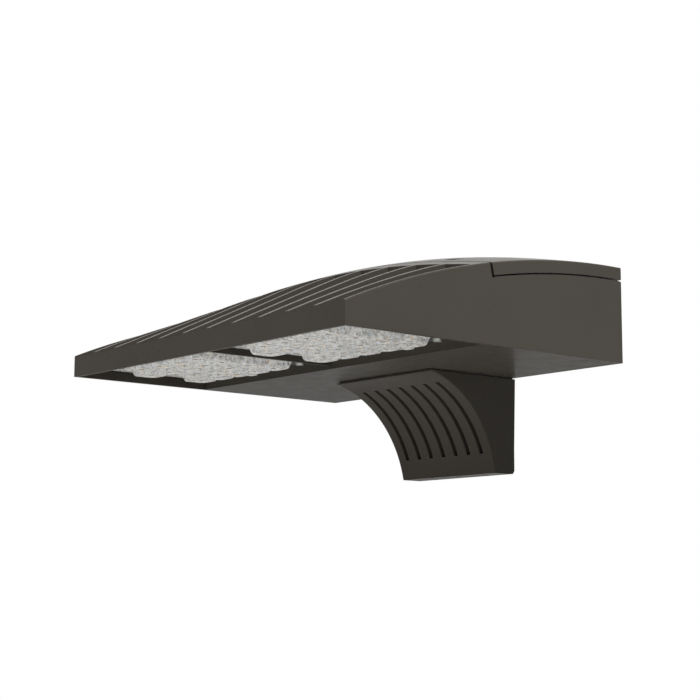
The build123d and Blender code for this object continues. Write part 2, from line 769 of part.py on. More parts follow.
with BuildPart() as supply_grommet:
    with BuildSketch(plan_plane(floor_thickness)):
        with Locations((0, wire_hole_depth)):
            Circle(grommet_flange_radius)
    extrude(amount=grommet_flange_height)
    with BuildSketch(plan_plane(floor_thickness)):
        with Locations((0, wire_hole_depth)):
            Circle(wire_hole_radius - grommet_fit)
    extrude(amount=-(floor_thickness + arm_gasket_thickness + arm_top_wall))
    with BuildSketch(plan_plane(floor_thickness + grommet_flange_height)):
        with Locations((0, wire_hole_depth)):
            Circle(grommet_bore_radius)
    extrude(
        amount=-(grommet_flange_height + floor_thickness + arm_gasket_thickness + arm_top_wall),
        mode=Mode.SUBTRACT,
    )
supply_grommet.part.label = "supply_grommet"
export_step(supply_grommet.part, "parts/supply_grommet.step")

# Wall plate: flat steel, with two hooks and a tapped foot welded to its face
with BuildPart() as wall_plate:
    with BuildSketch(wall_plane()):
        RectangleRounded(plate_width, plate_height, plate_corner_radius)
        with Locations((-box_screw_spacing / 2, 0), (box_screw_spacing / 2, 0)):
            Circle(box_screw_radius, mode=Mode.SUBTRACT)
        with GridLocations(anchor_spacing_x, anchor_spacing_z, 2, 2):
            Circle(anchor_radius, mode=Mode.SUBTRACT)
        Circle(plate_wire_radius, mode=Mode.SUBTRACT)
    extrude(amount=plate_thickness)
wall_plate.part.label = "wall_plate"
export_step(wall_plate.part, "parts/wall_plate.step")

plate_front = housing_depth + wall_gap - plate_thickness
with BuildPart() as plate_hooks:
    for side in (-1, 1):
        with BuildSketch(side_plane(side * hook_x)):
            with BuildLine():
                hook_front = housing_depth + wall_gap - hook_reach
                Polyline(
                    (plate_front, hook_top - plate_thickness),
                    (plate_front, hook_top),
                    (hook_front + plate_thickness, hook_top),
                    (hook_front + plate_thickness, hook_top + hook_rise),
                    (hook_front, hook_top + hook_rise),
                    (hook_front, hook_top - plate_thickness),
                    (plate_front, hook_top - plate_thickness),
                )
            make_face()
        extrude(amount=hook_width / 2, both=True)
plate_hooks.part.label = "plate_hooks"
export_step(plate_hooks.part, "parts/plate_hooks.step")

with BuildPart() as plate_foot:
    with BuildSketch(plan_plane(hook_top - plate_height)):
        with Locations((0, plate_front - foot_reach / 2)):
            Rectangle(plate_width - 2 * plate_corner_radius, foot_reach)
        for side in (-1, 1):
            with Locations((side * lock_screw_x, lock_depth)):
                Circle(lock_screw_radius + lock_screw_fit, mode=Mode.SUBTRACT)
    extrude(amount=plate_thickness)
plate_foot.part.label = "plate_foot"
export_step(plate_foot.part, "parts/plate_foot.step")

with BuildPart() as wall_gasket:
    with BuildSketch(wall_plane()):
        gasket_top = underside_height + arm_top_height - wall_gasket_inset / 2
        gasket_bottom = underside_height - arm_drop + wall_gasket_inset / 2
        gasket_half = arm_half_bottom - wall_gasket_inset / 2
        with Locations((0, (gasket_top + gasket_bottom) / 2)):
            Rectangle(2 * gasket_half, gasket_top - gasket_bottom)
            Rectangle(
                2 * (gasket_half - wall_gasket_width),
                gasket_top - gasket_bottom - 2 * wall_gasket_width,
                mode=Mode.SUBTRACT,
            )
    extrude(amount=wall_gap)
wall_gasket.part.label = "wall_gasket"
export_step(wall_gasket.part, "parts/wall_gasket.step")

with BuildPart() as lock_screws:
    with BuildSketch(plan_plane(-arm_drop + lock_screw_recess)):
        for side in (-1, 1):
            with Locations((side * lock_screw_x, lock_depth)):
                Circle(lock_screw_radius)
    extrude(amount=lock_screw_length)
    with BuildSketch(plan_plane(-arm_drop + lock_screw_recess)):
        for side in (-1, 1):
            with Locations((side * lock_screw_x, lock_depth)):
                RegularPolygon(lock_screw_radius * 0.55, 6)
    extrude(amount=hex_socket_depth, mode=Mode.SUBTRACT)
lock_screws.part.label = "lock_screws"
export_step(lock_screws.part, "parts/lock_screws.step")

# LED modules: pad, board, emitters, lens array, seal, screws, connector and lead on each side
board_face = recess_depth - pad_thickness - board_thickness
tile_places = [
    ((column - (lens_columns - 1) / 2) * lens_pitch, (row - (lens_rows - 1) / 2) * lens_pitch)
    for column in range(lens_columns)
    for row in range(lens_rows)
    if (column, row) not in bare_places
]
sheet_half_width = board_width / 2 - lens_sheet_margin


def module_plane(side, height):
    """Level plane at the middle of a module."""
    return Plane(
        origin=(side * module_x, front_y + module_depth, underside_height + height),
        x_dir=(1, 0, 0),
        z_dir=(0, 0, 1),
    )


for side, name in ((-1, "left"), (1, "right")):
    with BuildPart() as thermal_pad:
        with BuildSketch(plan_plane(recess_depth)):
            with Locations((side * board_x, module_depth)):
                Rectangle(
                    board_width - 2 * pad_margin,
                    2 * (module_screw_y - module_screw_radius - pad_screw_clearance),
                )
        extrude(amount=-pad_thickness)
    thermal_pad.part.label = f"thermal_pad_{name}"
    export_step(thermal_pad.part, f"parts/thermal_pad_{name}.step")

    with BuildPart() as led_board:
        with BuildSketch(plan_plane(board_face)):
            with Locations((side * board_x, (board_front + board_back) / 2)):
                Rectangle(board_width, board_back - board_front)
            with Locations(*module_places(side)):
                Circle(module_screw_radius + module_screw_fit, mode=Mode.SUBTRACT)
        extrude(amount=board_thickness)
    led_board.part.label = f"led_board_{name}"
    export_step(led_board.part, f"parts/led_board_{name}.step")

    with BuildPart() as led_emitters:
        with BuildSketch(module_plane(side, board_face)):
            with Locations(*tile_places):
                Rectangle(emitter_size, emitter_size)
        extrude(amount=-emitter_height)
    led_emitters.part.label = f"led_emitters_{name}"
    export_step(led_emitters.part, f"parts/led_emitters_{name}.step")

    with BuildPart() as lens_array:
        with BuildSketch(plan_plane(board_face)):
            with Locations((side * board_x, module_depth)):
                Rectangle(2 * sheet_half_width, 2 * lens_sheet_half_length)
            with Locations(*module_places(side)):
                Circle(module_screw_radius + module_screw_fit, mode=Mode.SUBTRACT)
        extrude(amount=-lens_sheet)
        with BuildSketch(module_plane(side, board_face - lens_sheet)):
            with Locations(*tile_places):
                Rectangle(lens_tile, lens_tile)
        flare = board_face - lens_sheet - lens_flare_height
        extrude(amount=-flare, taper=degrees(atan((lens_tile - lens_block) / 2 / flare)))
        with BuildSketch(module_plane(side, lens_flare_height)):
            with Locations(*tile_places):
                Rectangle(lens_block, lens_block)
        extrude(amount=-(lens_flare_height - lens_bottom_height))
        with BuildSketch(module_plane(side, board_face)):
            with Locations(*tile_places):
                Circle(lens_pocket_radius)
        extrude(amount=-lens_pocket_depth, mode=Mode.SUBTRACT)
    lens_array.part.label = f"lens_array_{name}"
    export_step(lens_array.part, f"parts/lens_array_{name}.step")

    with BuildPart() as lens_gasket:
        seal_inner_x = sheet_half_width + seal_fit
        seal_inner_y = lens_sheet_half_length + seal_fit
        with BuildSketch(plan_plane(board_face)):
            with Locations((side * board_x, module_depth)):
                Rectangle(2 * (seal_inner_x + seal_width), 2 * (seal_inner_y + seal_width))
                Rectangle(2 * seal_inner_x, 2 * seal_inner_y, mode=Mode.SUBTRACT)
        extrude(amount=-lens_sheet)
    lens_gasket.part.label = f"lens_gasket_{name}"
    export_step(lens_gasket.part, f"parts/lens_gasket_{name}.step")

    with BuildPart() as module_screws:
        with BuildSketch(plan_plane(board_face - lens_sheet)):
            with Locations(*module_places(side)):
                Circle(module_screw_head_radius)
        extrude(amount=-module_screw_head_height, taper=12)
        with BuildSketch(plan_plane(board_face - lens_sheet)):
            with Locations(*module_places(side)):
                Circle(module_screw_radius)
        extrude(amount=lens_sheet + board_thickness + pad_thickness + module_screw_reach)
    module_screws.part.label = f"module_screws_{name}"
    export_step(module_screws.part, f"parts/module_screws_{name}.step")

    with BuildPart() as led_connector:
        connector_depth = board_back - connector_size[1] / 2
        with BuildSketch(plan_plane(board_face)):
            with Locations((lead_x(side), connector_depth)):
                Rectangle(connector_size[0], connector_size[1])
        extrude(amount=-connector_size[2])
    led_connector.part.label = f"led_connector_{name}"
    export_step(led_connector.part, f"parts/led_connector_{name}.step")

    with BuildPart() as led_lead:
        lead_start = Vector(lead_x(side), front_y + board_back, underside_height + lead_height)
        lead_rise = Vector(lead_start.X, front_y + lead_rise_depth, lead_start.Z)
        lead_turn = Vector(lead_start.X, front_y + driver_depth, underside_height + lead_driver_height)
        lead_end = Vector(side * driver_size[0] / 2, lead_turn.Y, lead_turn.Z)
        with BuildLine() as lead_path:
            FilletPolyline(lead_start, lead_rise, lead_turn, lead_end, radius=lead_bend_radius)
        with BuildSketch(Plane(origin=lead_start, z_dir=(0, 1, 0))):
            Circle(lead_radius)
        sweep(path=lead_path.line)
    led_lead.part.label = f"led_lead_{name}"
    export_step(led_lead.part, f"parts/led_lead_{name}.step")

with BuildPart() as lead_seals:
    for side in (-1, 1):
        seal_plane = Plane(
            origin=(lead_x(side), front_y + recess_back, underside_height + lead_height), z_dir=(0, 1, 0)
        )
        with BuildSketch(seal_plane):
            Circle(lead_seal_radius - grommet_fit)
            Circle(lead_radius + grommet_fit, mode=Mode.SUBTRACT)
        extrude(amount=compartment_front - recess_back)
lead_seals.part.label = "lead_seals"
export_step(lead_seals.part, "parts/lead_seals.step")

# Driver, surge protector and terminal block on the compartment floor
with BuildPart() as driver:
    with BuildSketch(plan_plane(floor_thickness)):
        with Locations((0, driver_depth)):
            Rectangle(driver_size[0], driver_size[1])
    extrude(amount=driver_size[2])
    fillet(driver.edges().filter_by(Axis.X), driver_edge_radius)
    with BuildSketch(plan_plane(floor_thickness)):
        with Locations((0, driver_depth)):
            Rectangle(driver_size[0] + 2 * driver_ear, driver_size[1] / 2)
    extrude(amount=driver_ear_thickness)
    with BuildSketch(plan_plane(floor_thickness + driver_ear_thickness)):
        with Locations(*driver_screw_places):
            Circle(small_screw_radius + module_screw_fit)
    extrude(amount=-driver_ear_thickness, mode=Mode.SUBTRACT)
driver.part.label = "driver"
export_step(driver.part, "parts/driver.step")

with BuildPart() as surge_protector:
    with BuildSketch(plan_plane(floor_thickness)):
        with Locations(surge_place):
            Rectangle(surge_size[0], surge_size[1])
    extrude(amount=surge_size[2])
    fillet(surge_protector.edges().filter_by(Axis.Z), 2 * driver_edge_radius)
    with BuildSketch(plan_plane(floor_thickness)):
        with Locations(surge_place):
            Rectangle(surge_size[0] + 2 * small_ear, surge_size[1] / 2)
    extrude(amount=small_ear_thickness)
    with BuildSketch(plan_plane(floor_thickness + small_ear_thickness)):
        with Locations(*surge_screw_places):
            Circle(small_screw_radius + module_screw_fit)
    extrude(amount=-small_ear_thickness, mode=Mode.SUBTRACT)
surge_protector.part.label = "surge_protector"
export_step(surge_protector.part, "parts/surge_protector.step")

with BuildPart() as terminal_block:
    with BuildSketch(plan_plane(floor_thickness)):
        with Locations(terminal_place):
            Rectangle(terminal_size[0], terminal_size[1])
    extrude(amount=terminal_size[2])
    with BuildSketch(plan_plane(floor_thickness)):
        with Locations(terminal_place):
            Rectangle(terminal_size[0] + 2 * small_ear, terminal_size[1] / 2)
    extrude(amount=small_ear_thickness)
    with BuildSketch(plan_plane(floor_thickness + small_ear_thickness)):
        with Locations(*terminal_screw_places):
            Circle(small_screw_radius + module_screw_fit)
    extrude(amount=-small_ear_thickness, mode=Mode.SUBTRACT)
    port_plane = Plane(
        origin=(
            terminal_place[0],
            front_y + terminal_place[1] + terminal_size[1] / 2,
            underside_height + input_lead_height,
        ),
        x_dir=(1, 0, 0),
        z_dir=(0, 1, 0),
    )
    with BuildSketch(port_plane):
        with GridLocations(terminal_port_pitch, 1, terminal_ports, 1):
            Circle(terminal_port_radius)
    extrude(amount=-terminal_size[1] / 3, mode=Mode.SUBTRACT)
terminal_block.part.label = "terminal_block"
export_step(terminal_block.part, "parts/terminal_block.step")

for places, ear, label in (
    (driver_screw_places, driver_ear_thickness, "driver_screws"),
    (surge_screw_places, small_ear_thickness, "surge_screws"),
    (terminal_screw_places, small_ear_thickness, "terminal_screws"),
):
    with BuildPart() as small_screws:
        with BuildSketch(plan_plane(floor_thickness + ear)):
            with Locations(*places):
                Circle(small_screw_head_radius)
        extrude(amount=small_screw_head_height, taper=12)
        with BuildSketch(plan_plane(floor_thickness + ear)):
            with Locations(*places):
                Circle(small_screw_radius)
        extrude(amount=-(ear + small_screw_reach - 0.2))
    small_screws.part.label = label
    export_step(small_screws.part, f"parts/{label}.step")

with BuildPart() as ground_screw:
    boss_top = floor_thickness + ground_boss_height
    with BuildSketch(plan_plane(boss_top)):
        with Locations(ground_place):
            RegularPolygon(4.0, 6, major_radius=False)
    extrude(amount=3.5)
    with BuildSketch(plan_plane(boss_top)):
        with Locations(ground_place):
            Circle(ground_screw_radius)
    extrude(amount=-(ground_boss_height + small_screw_reach - 1.3))
ground_screw.part.label = "ground_screw"
export_step(ground_screw.part, "parts/ground_screw.step")

with BuildPart() as driver_input_lead:
    terminal_front = front_y + terminal_place[1] - terminal_size[1] / 2
    input_start = Vector(input_lead_x, terminal_front, underside_height + input_lead_height)
    input_turn = Vector(input_lead_x, front_y + input_lead_depth, input_start.Z)
    input_end = Vector(driver_size[0] / 2, input_turn.Y, input_start.Z)
    with BuildLine() as input_path:
        FilletPolyline(input_start, input_turn, input_end, radius=lead_bend_radius)
    with BuildSketch(Plane(origin=input_start, z_dir=(0, -1, 0))):
        Circle(input_lead_radius)
    sweep(path=input_path.line)
driver_input_lead.part.label = "driver_input_lead"
export_step(driver_input_lead.part, "parts/driver_input_lead.step")
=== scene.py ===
import json
import math

import bmesh
import bpy
from mathutils import Matrix, Vector


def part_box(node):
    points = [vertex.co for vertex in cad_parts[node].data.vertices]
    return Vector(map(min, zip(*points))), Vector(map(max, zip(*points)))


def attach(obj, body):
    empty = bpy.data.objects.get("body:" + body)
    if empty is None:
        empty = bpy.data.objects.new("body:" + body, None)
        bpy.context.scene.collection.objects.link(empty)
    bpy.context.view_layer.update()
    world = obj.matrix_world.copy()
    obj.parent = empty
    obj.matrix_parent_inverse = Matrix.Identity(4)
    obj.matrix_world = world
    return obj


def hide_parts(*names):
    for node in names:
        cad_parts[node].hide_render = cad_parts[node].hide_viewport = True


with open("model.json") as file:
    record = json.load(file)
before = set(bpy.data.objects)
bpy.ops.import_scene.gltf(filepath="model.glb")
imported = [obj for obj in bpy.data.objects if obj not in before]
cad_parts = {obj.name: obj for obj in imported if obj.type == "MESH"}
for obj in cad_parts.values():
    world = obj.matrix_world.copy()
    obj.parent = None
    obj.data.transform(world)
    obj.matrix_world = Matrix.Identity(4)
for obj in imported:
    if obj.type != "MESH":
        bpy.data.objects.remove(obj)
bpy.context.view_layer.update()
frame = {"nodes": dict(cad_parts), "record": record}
nodes = frame["nodes"]
print("frame loaded:", len(nodes), "nodes")

# The camera stands where the photograph was taken from, a little below the light. The place is in
# metres, the angles in degrees, and the lens and sensor in millimetres
cameraView = {
    "place": (1.01497, -0.98235, -0.14097),
    "azimuth": 50.05,
    "elevation": 8.55,
    "roll": 0.154,
    "focal": 85.38,
    "sensor": 36.0,
    "clipStart": 0.01,
    "clipEnd": 60.0,
}


def placeCamera():
    azimuth = math.radians(cameraView["azimuth"])
    elevation = math.radians(cameraView["elevation"])
    roll = math.radians(cameraView["roll"])
    forward = Vector((
        -math.sin(azimuth) * math.cos(elevation),
        math.cos(azimuth) * math.cos(elevation),
        math.sin(elevation),
    ))
    right = Vector((math.cos(azimuth), math.sin(azimuth), 0.0))
    upward = right.cross(forward)
    rolledRight = math.cos(roll) * right + math.sin(roll) * upward
    rolledUp = math.cos(roll) * upward - math.sin(roll) * right
    camera = bpy.data.objects.new("photoCamera", bpy.data.cameras.new("photoCamera"))
    camera.data.sensor_width = cameraView["sensor"]
    camera.data.lens = cameraView["focal"]
    camera.data.clip_start = cameraView["clipStart"]
    camera.data.clip_end = cameraView["clipEnd"]
    turned = Matrix((rolledRight, rolledUp, -forward)).transposed().to_4x4()
    camera.matrix_world = Matrix.Translation(cameraView["place"]) @ turned
    bpy.context.scene.collection.objects.link(camera)
    bpy.context.scene.camera = camera


placeCamera()
print("camera placed")

# Most values of a noise texture lie in this span, so it is stretched to the limits asked for
noiseSpan = (0.3, 0.7)
fullSpan = (0.0, 1.0)


# Small helpers for node trees. A finish has a colour and a roughness, and may have a metal share
def startMaterial(name, finish):
    material = bpy.data.materials.new(name)
    material.use_nodes = True
    tree = material.node_tree
    shader = tree.nodes["Principled BSDF"]
    shader.inputs["Base Color"].default_value = (*finish["colour"], 1.0)
    shader.inputs["Roughness"].default_value = finish["rough"]
    shader.inputs["Metallic"].default_value = finish.get("metal", 0.0)
    coords = tree.nodes.new("ShaderNodeTexCoord").outputs["Object"]
    return material, tree, shader, coords


def stretched(tree, coords, scale):
    mapping = tree.nodes.new("ShaderNodeMapping")
    mapping.inputs["Scale"].default_value = scale
    tree.links.new(coords, mapping.inputs["Vector"])
    return mapping.outputs["Vector"]


def noiseOf(tree, coords, scale, detail=2.0):
    node = tree.nodes.new("ShaderNodeTexNoise")
    node.inputs["Scale"].default_value = scale
    node.inputs["Detail"].default_value = detail
    tree.links.new(coords, node.inputs["Vector"])
    return node.outputs["Fac"]


def cellsOf(tree, coords, scale, feature="F1"):
    node = tree.nodes.new("ShaderNodeTexVoronoi")
    node.feature = feature
    node.inputs["Scale"].default_value = scale
    tree.links.new(coords, node.inputs["Vector"])
    return node


def rangeOf(tree, value, limits, span=noiseSpan):
    node = tree.nodes.new("ShaderNodeMapRange")
    node.inputs["From Min"].default_value, node.inputs["From Max"].default_value = span
    node.inputs["To Min"].default_value, node.inputs["To Max"].default_value = limits
    tree.links.new(value, node.inputs["Value"])
    return node.outputs["Result"]


# The first and second may be a colour or the output of another node
def mixOf(tree, factor, first, second):
    node = tree.nodes.new("ShaderNodeMix")
    node.data_type = "RGBA"
    tree.links.new(factor, node.inputs[0])
    for socket, value in ((node.inputs[6], first), (node.inputs[7], second)):
        if isinstance(value, tuple):
            socket.default_value = (*value, 1.0)
        else:
            tree.links.new(value, socket)
    return node.outputs[2]


def tintBetween(tree, shader, value, tints, span=noiseSpan):
    share = rangeOf(tree, value, fullSpan, span)
    tree.links.new(mixOf(tree, share, *tints), shader.inputs["Base Color"])


def roughBetween(tree, shader, value, limits, span=noiseSpan):
    tree.links.new(rangeOf(tree, value, limits, span), shader.inputs["Roughness"])


# A bump is given as its strength and its distance in metres
def bumpOf(tree, shader, height, bump, under=None):
    node = tree.nodes.new("ShaderNodeBump")
    node.inputs["Strength"].default_value, node.inputs["Distance"].default_value = bump
    tree.links.new(height, node.inputs["Height"])
    if under is not None:
        tree.links.new(under, node.inputs["Normal"])
    tree.links.new(node.outputs["Normal"], shader.inputs["Normal"])
    return node.outputs["Normal"]


def softEdges(tree, radius):
    node = tree.nodes.new("ShaderNodeBevel")
    node.samples = 4
    node.inputs["Radius"].default_value = radius
    return node.outputs["Normal"]


# Dark bronze powder coat of the castings
bronzeFinish = {
    "colour": (0.046, 0.0412, 0.0348),
    "warm": (0.053, 0.0472, 0.0398),
    "rough": 0.36,
    "specular": 0.04,
    "driftScale": 9.0,
    "hazeScale": 70.0,
    "hazeRough": (0.27, 0.34),
    "grainScale": 1500.0,
    "grainBump": (0.14, 0.0001),
    "edge": 0.0003,
}


def makeBronze():
    finish = bronzeFinish
    material, tree, shader, coords = startMaterial("bronzePowderCoat", finish)
    shader.inputs["Specular IOR Level"].default_value = finish["specular"]
    drift = noiseOf(tree, coords, finish["driftScale"], detail=3.0)
    tintBetween(tree, shader, drift, (finish["colour"], finish["warm"]))
    haze = noiseOf(tree, coords, finish["hazeScale"], detail=3.0)
    roughBetween(tree, shader, haze, finish["hazeRough"])
    grain = noiseOf(tree, coords, finish["grainScale"])
    bumpOf(tree, shader, grain, finish["grainBump"], softEdges(tree, finish["edge"]))
    return material


# Foam of the wall gasket
foamFinish = {
    "colour": (0.018, 0.018, 0.018),
    "rough": 0.85,
    "cellScale": 1100.0,
    "cellSpan": (0.1, 0.7),
    "tints": ((0.010, 0.010, 0.010), (0.035, 0.035, 0.034)),
    "cellBump": (0.5, 0.0003),
}


def makeFoam():
    finish = foamFinish
    material, tree, shader, coords = startMaterial("gasketFoam", finish)
    cells = cellsOf(tree, coords, finish["cellScale"]).outputs["Distance"]
    tintBetween(tree, shader, cells, finish["tints"], finish["cellSpan"])
    bumpOf(tree, shader, cells, finish["cellBump"])
    return material


# Rubber of the other gaskets, seals and the grommet
rubberFinish = {
    "colour": (0.025, 0.024, 0.023),
    "rough": 0.6,
    "fineScale": 420.0,
    "fineRough": (0.52, 0.72),
    "fineBump": (0.15, 0.0002),
    "edge": 0.0004,
}


def makeRubber():
    finish = rubberFinish
    material, tree, shader, coords = startMaterial("sealRubber", finish)
    fine = noiseOf(tree, coords, finish["fineScale"], detail=4.0)
    roughBetween(tree, shader, fine, finish["fineRough"])
    bumpOf(tree, shader, fine, finish["fineBump"], softEdges(tree, finish["edge"]))
    return material


# Bright screws, with turning marks round them
screwFinish = {
    "colour": (0.62, 0.62, 0.60),
    "rough": 0.3,
    "metal": 1.0,
    "markStretch": (1.0, 1.0, 9.0),
    "markScale": 520.0,
    "markRough": (0.24, 0.42),
    "markBump": (0.08, 0.0001),
    "edge": 0.00025,
}


def makeScrewSteel():
    finish = screwFinish
    material, tree, shader, coords = startMaterial("screwSteel", finish)
    along = stretched(tree, coords, finish["markStretch"])
    marks = noiseOf(tree, along, finish["markScale"], detail=3.0)
    roughBetween(tree, shader, marks, finish["markRough"])
    bumpOf(tree, shader, marks, finish["markBump"], softEdges(tree, finish["edge"]))
    return material


# Green coated ground screw
greenFinish = {
    "colour": (0.03, 0.22, 0.07),
    "rough": 0.35,
    "metal": 0.6,
    "hazeScale": 300.0,
    "tints": ((0.02, 0.17, 0.05), (0.05, 0.27, 0.10)),
    "hazeRough": (0.28, 0.45),
    "hazeBump": (0.05, 0.0001),
    "edge": 0.0003,
}


def makeGreenSteel():
    finish = greenFinish
    material, tree, shader, coords = startMaterial("groundGreen", finish)
    haze = noiseOf(tree, coords, finish["hazeScale"], detail=3.0)
    tintBetween(tree, shader, haze, finish["tints"])
    roughBetween(tree, shader, haze, finish["hazeRough"])
    bumpOf(tree, shader, haze, finish["hazeBump"], softEdges(tree, finish["edge"]))
    return material


# Zinc plating of the wall plate, with its spangle
zincFinish = {
    "colour": (0.60, 0.62, 0.64),
    "dark": (0.44, 0.46, 0.48),
    "rough": 0.38,
    "metal": 1.0,
    "spangleScale": 130.0,
    "spangleSpan": (0.1, 0.9),
    "spangleRough": (0.30, 0.52),
    "fineScale": 600.0,
    "fineBump": (0.06, 0.0001),
    "edge": 0.0004,
}


def makeZinc():
    finish = zincFinish
    material, tree, shader, coords = startMaterial("zincPlate", finish)
    spangle = cellsOf(tree, coords, finish["spangleScale"]).outputs["Color"]
    tintBetween(tree, shader, spangle, (finish["colour"], finish["dark"]), finish["spangleSpan"])
    roughBetween(tree, shader, spangle, finish["spangleRough"], fullSpan)
    fine = noiseOf(tree, coords, finish["fineScale"], detail=3.0)
    bumpOf(tree, shader, fine, finish["fineBump"], softEdges(tree, finish["edge"]))
    return material


# White solder mask of the LED boards, with faint copper traces under it
maskFinish = {
    "colour": (0.74, 0.75, 0.74),
    "trace": (0.60, 0.62, 0.61),
    "rough": 0.35,
    "traceScale": 40.0,
    "traceWidth": 0.012,
    "traceBump": (0.1, 0.0001),
    "hazeScale": 180.0,
    "hazeRough": (0.28, 0.42),
}


def makeSolderMask():
    finish = maskFinish
    material, tree, shader, coords = startMaterial("whiteSolderMask", finish)
    traces = tree.nodes.new("ShaderNodeTexBrick")
    traces.inputs["Scale"].default_value = finish["traceScale"]
    traces.inputs["Mortar Size"].default_value = finish["traceWidth"]
    for socketName, key in (("Color1", "colour"), ("Color2", "colour"), ("Mortar", "trace")):
        traces.inputs[socketName].default_value = (*finish[key], 1.0)
    tree.links.new(coords, traces.inputs["Vector"])
    tree.links.new(traces.outputs["Color"], shader.inputs["Base Color"])
    roughBetween(tree, shader, noiseOf(tree, coords, finish["hazeScale"]), finish["hazeRough"])
    bumpOf(tree, shader, traces.outputs["Fac"], finish["traceBump"])
    return material


# Yellow phosphor of the emitters
phosphorFinish = {
    "colour": (0.85, 0.55, 0.08),
    "rough": 0.25,
    "grainScale": 2500.0,
    "tints": ((0.80, 0.48, 0.06), (0.90, 0.66, 0.16)),
    "grainBump": (0.1, 0.00005),
}


def makePhosphor():
    finish = phosphorFinish
    material, tree, shader, coords = startMaterial("phosphor", finish)
    grain = noiseOf(tree, coords, finish["grainScale"], detail=3.0)
    tintBetween(tree, shader, grain, finish["tints"])
    bumpOf(tree, shader, grain, finish["grainBump"])
    return material


# Ceramic tile under each phosphor dome
ceramicFinish = {
    "colour": (0.80, 0.80, 0.78),
    "rough": 0.5,
    "grainScale": 1800.0,
    "grainRough": (0.42, 0.6),
    "grainBump": (0.08, 0.00005),
}


def makeCeramic():
    finish = ceramicFinish
    material, tree, shader, coords = startMaterial("emitterCeramic", finish)
    grain = noiseOf(tree, coords, finish["grainScale"])
    roughBetween(tree, shader, grain, finish["grainRough"])
    bumpOf(tree, shader, grain, finish["grainBump"])
    return material


# Clear acrylic of the lens arrays: pebbled, with cool and warm spots, and dark spots of painted
# shade mixed into its colour
acrylicFinish = {
    "colour": (0.92, 0.91, 0.88),
    "rough": 0.08,
    "clearness": 0.36,
    "refraction": 1.49,
    "tintScale": 260.0,
    "cool": (0.84, 0.86, 0.88),
    "coolSpan": (0.52, 0.62),
    "warm": (0.92, 0.80, 0.64),
    "warmSpan": (0.33, 0.40),
    "paintedShade": (0.34, 0.32, 0.29),
    "paintedShadeScale": 620.0,
    "paintedShadeSpan": (0.55, 0.68),
    "paintedShadeLimits": (0.0, 0.75),
    "pebbleScale": 330.0,
    "pebbleBump": (0.9, 0.0026),
    "flowScale": 420.0,
    "flowRough": (0.03, 0.22),
    "flowBump": (0.3, 0.0006),
}


def makeAcrylic():
    finish = acrylicFinish
    material, tree, shader, coords = startMaterial("clearAcrylic", finish)
    shader.inputs["Transmission Weight"].default_value = finish["clearness"]
    shader.inputs["IOR"].default_value = finish["refraction"]
    tint = noiseOf(tree, coords, finish["tintScale"], detail=1.0)
    coolShare = rangeOf(tree, tint, fullSpan, finish["coolSpan"])
    cool = mixOf(tree, coolShare, finish["colour"], finish["cool"])
    warmShare = rangeOf(tree, tint, (1.0, 0.0), finish["warmSpan"])
    warm = mixOf(tree, warmShare, cool, finish["warm"])
    # Painted shade: dark specks mixed into the acrylic's colour
    paintedShadeNoise = noiseOf(tree, coords, finish["paintedShadeScale"], detail=3.0)
    paintedShadeShare = rangeOf(tree, paintedShadeNoise, finish["paintedShadeLimits"], finish["paintedShadeSpan"])
    tree.links.new(mixOf(tree, paintedShadeShare, warm, finish["paintedShade"]), shader.inputs["Base Color"])
    pebbles = cellsOf(tree, coords, finish["pebbleScale"], "SMOOTH_F1").outputs["Distance"]
    flow = noiseOf(tree, coords, finish["flowScale"], detail=3.0)
    roughBetween(tree, shader, flow, finish["flowRough"])
    pebbled = bumpOf(tree, shader, pebbles, finish["pebbleBump"])
    bumpOf(tree, shader, flow, finish["flowBump"], pebbled)
    return material


# Painted see-through and painted shade: a dark amber spot painted on the middle of each lens block,
# where the emitter behind it would show through
paintedGlimpseFinish = {
    "colour": (0.085, 0.072, 0.062),
    "amber": (0.30, 0.20, 0.10),
    "rough": 0.12,
    "speckScale": 900.0,
    "speckBump": (0.1, 0.0001),
}


def makePaintedGlimpse():
    finish = paintedGlimpseFinish
    material, tree, shader, coords = startMaterial("paintedEmitterGlimpse", finish)
    speck = noiseOf(tree, coords, finish["speckScale"])
    tintBetween(tree, shader, speck, (finish["colour"], finish["amber"]))
    bumpOf(tree, shader, speck, finish["speckBump"])
    return material


# Thermal pads between the boards and the housing
padFinish = {
    "colour": (0.20, 0.22, 0.24),
    "rough": 0.7,
    "weaveScale": 900.0,
    "tints": ((0.16, 0.18, 0.20), (0.26, 0.28, 0.30)),
    "weaveBump": (0.2, 0.0001),
}


def makePad():
    finish = padFinish
    material, tree, shader, coords = startMaterial("thermalPad", finish)
    weave = noiseOf(tree, coords, finish["weaveScale"], detail=3.0)
    tree.links.new(mixOf(tree, weave, *finish["tints"]), shader.inputs["Base Color"])
    bumpOf(tree, shader, weave, finish["weaveBump"])
    return material


# Pale nylon of the connectors
nylonFinish = {
    "colour": (0.72, 0.72, 0.68),
    "rough": 0.5,
    "glow": 0.05,
    "grainScale": 800.0,
    "tints": ((0.66, 0.66, 0.62), (0.76, 0.76, 0.72)),
    "grainRough": (0.42, 0.58),
    "grainBump": (0.1, 0.0001),
    "edge": 0.0003,
}


def makeNylon():
    finish = nylonFinish
    material, tree, shader, coords = startMaterial("nylonConnector", finish)
    shader.inputs["Subsurface Weight"].default_value = finish["glow"]
    grain = noiseOf(tree, coords, finish["grainScale"], detail=3.0)
    tintBetween(tree, shader, grain, finish["tints"])
    roughBetween(tree, shader, grain, finish["grainRough"])
    bumpOf(tree, shader, grain, finish["grainBump"], softEdges(tree, finish["edge"]))
    return material


# Black jackets of the leads
jacketFinish = {
    "colour": (0.020, 0.020, 0.022),
    "rough": 0.45,
    "grainScale": 500.0,
    "grainRough": (0.38, 0.55),
    "grainBump": (0.1, 0.0001),
}


